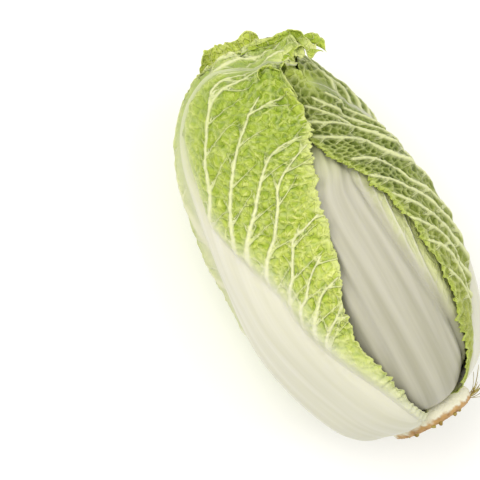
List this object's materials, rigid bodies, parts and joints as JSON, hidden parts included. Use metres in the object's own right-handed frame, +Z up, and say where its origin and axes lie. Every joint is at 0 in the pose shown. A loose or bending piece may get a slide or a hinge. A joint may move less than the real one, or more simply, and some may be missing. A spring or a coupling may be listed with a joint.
{
  "type": "napa cabbage",
  "caption": "Barrel-shaped head of napa cabbage lying on its side: a cut stem and a dense heart wrapped in overlapping leaves with thick pale ribs, raised veins and waved edges.",
  "frame": {"origin": "on the surface that the head rests on, under the middle of its bounding box", "axes": "+X along the head from the cut stem to the leaf tips, +Z up as it lies, +Y to the side of the outermost leaf's rib"},
  "size_m": [0.3065, 0.1701, 0.1474],
  "materials": {
    "stem": "cut cabbage stem: pale green-white side, dried tan and brown cut face with root stubs",
    "heart": "tightly packed pale yellow heart leaves",
    "inner_leaf": "pale yellow-green cabbage leaf, waxy, with a white rib",
    "outer_leaf": "green crinkled cabbage leaf, waxy, with a broad glossy white rib and pale raised veins"
  },
  "bodies": {
    "root": {"stem": "stem", "heart": "heart", "leaf_8_inner_front": "inner_leaf", "leaf_7_inner_right": "inner_leaf", "leaf_6_inner_left": "inner_leaf", "leaf_5_back_right": "outer_leaf", "leaf_4_front": "outer_leaf", "leaf_3_under": "outer_leaf", "leaf_2_right": "outer_leaf", "leaf_1_left": "outer_leaf"}
  },
  "joints": []
}
